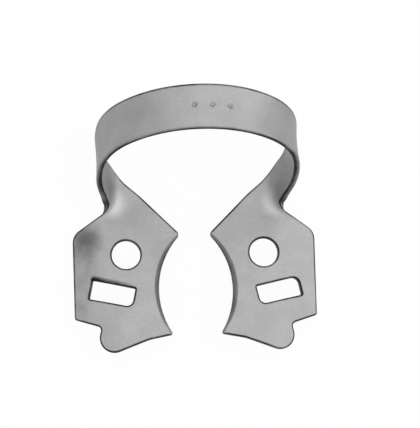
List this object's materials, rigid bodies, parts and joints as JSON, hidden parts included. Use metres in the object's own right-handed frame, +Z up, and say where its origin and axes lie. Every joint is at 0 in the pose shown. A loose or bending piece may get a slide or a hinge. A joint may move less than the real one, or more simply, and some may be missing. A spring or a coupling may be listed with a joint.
{
  "type": "rubber dam clamp",
  "caption": "Winged dental dam clamp: one sprung steel sheet with an arched bow, two concave tooth jaws, forceps holes and slotted drop wings.",
  "frame": {"origin": "under the middle of the clamp's box, on the surface that it rests on", "axes": "+X across the jaws to the user's right in the picture's view, +Y distal towards the bow, +Z up with the clamp at rest on its wing shoulders and leg bottoms"},
  "size_m": [0.0274, 0.03, 0.0169],
  "materials": {
    "steel": "satin"
  },
  "bodies": {
    "root": {"clamp": "steel"}
  },
  "joints": []
}
